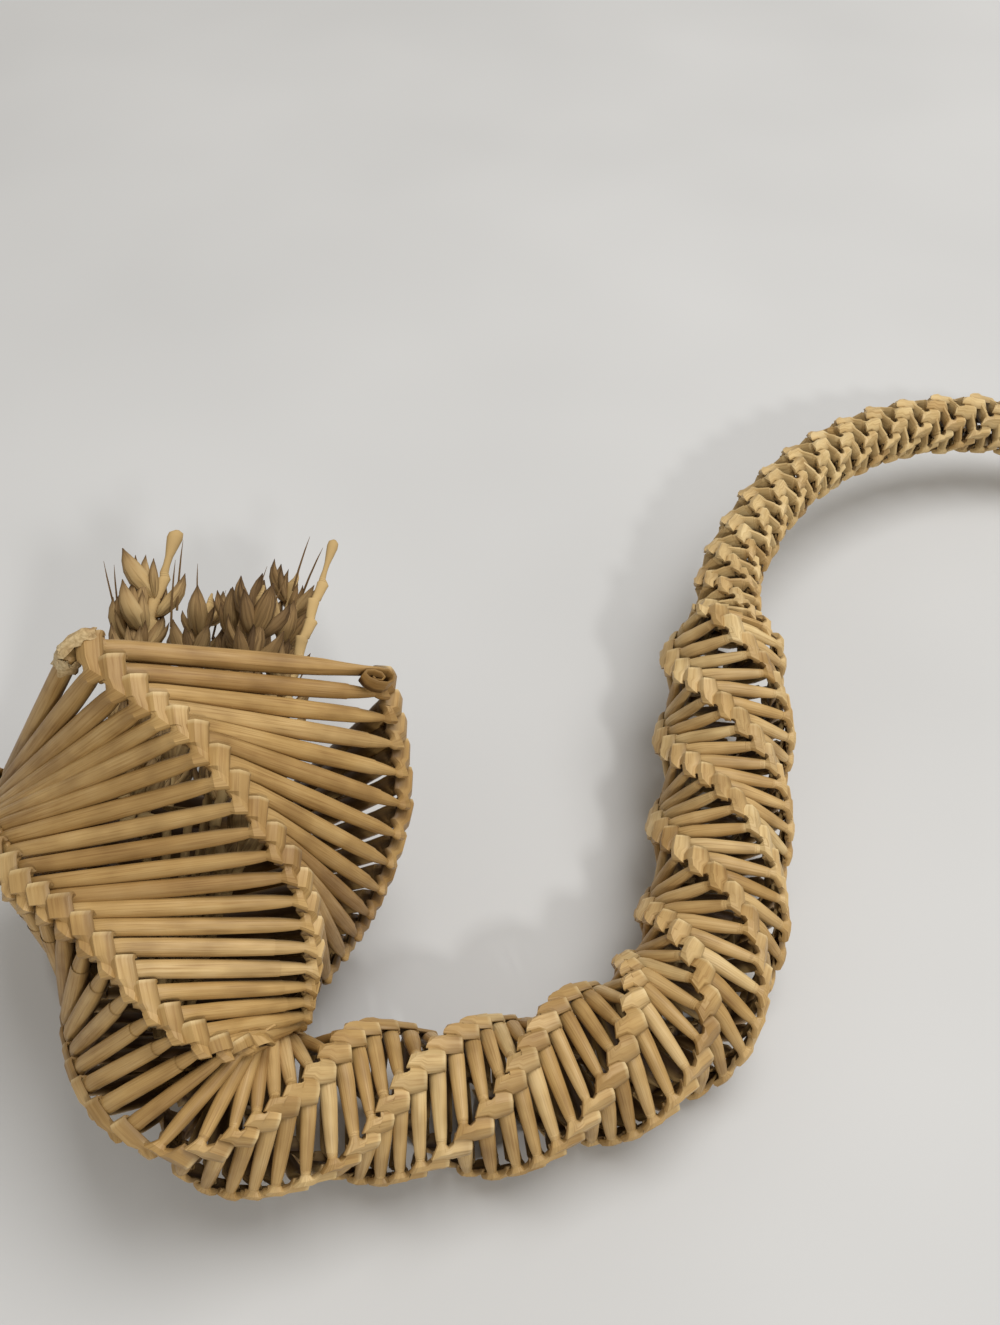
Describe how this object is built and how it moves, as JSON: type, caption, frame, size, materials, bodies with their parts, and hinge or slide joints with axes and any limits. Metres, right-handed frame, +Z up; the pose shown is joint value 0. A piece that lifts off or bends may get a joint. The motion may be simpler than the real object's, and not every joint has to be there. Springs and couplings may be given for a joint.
{
  "type": "corn dolly",
  "caption": "Horn-of-plenty corn dolly lying on its side: a square spiral plait of wheat straw that narrows from an open mouth holding wheat ears to a curved tail.",
  "frame": {"origin": "middle of the footprint, on the surface that the dolly lies on", "axes": "+Z up, +X towards the tail's tip, +Y the way the mouth faces"},
  "size_m": [0.316, 0.2426, 0.0922],
  "materials": {
    "straw": "satin dry wheat straw",
    "ear": "matt dry chaff",
    "tie": "satin split straw"
  },
  "bodies": {
    "root": {"tail_straw_a1": "straw", "tail_straw_b1": "straw", "tail_straw_c1": "straw", "tail_straw_d1": "straw", "tail_straw_e1": "straw", "tail_straw_a2": "straw", "tail_straw_b2": "straw", "tail_straw_c2": "straw", "tail_straw_d2": "straw", "tail_straw_e2": "straw", "tube_straw_a1": "straw", "tube_straw_b1": "straw", "tube_straw_c1": "straw", "tube_straw_d1": "straw", "tube_straw_e1": "straw", "tube_straw_a2": "straw", "tube_straw_b2": "straw", "tube_straw_c2": "straw", "tube_straw_d2": "straw", "tube_straw_e2": "straw", "tube_straw_a3": "straw", "tube_straw_b3": "straw", "tube_straw_c3": "straw", "tube_straw_d3": "straw", "tube_straw_e3": "straw", "tube_straw_a4": "straw", "tube_straw_b4": "straw", "tube_straw_c4": "straw", "tube_straw_d4": "straw", "tube_straw_e4": "straw", "head_straw_a1": "straw", "head_straw_b1": "straw", "head_straw_c1": "straw", "head_straw_d1": "straw", "head_straw_e1": "straw", "head_straw_a2": "straw", "head_straw_b2": "straw", "head_straw_c2": "straw", "head_straw_d2": "straw", "head_straw_e2": "straw", "head_straw_a3": "straw", "head_straw_b3": "straw", "head_straw_c3": "straw", "head_straw_d3": "straw", "head_straw_e3": "straw", "wheat_ear_1": "ear", "wheat_ear_2": "ear", "wheat_ear_3": "ear", "wheat_ear_4": "ear", "wheat_ear_5": "ear", "wheat_ear_6": "ear", "wheat_ear_7": "ear", "ear_tie": "tie", "tail_binding": "tie", "mouth_wrap": "tie"}
  },
  "joints": []
}
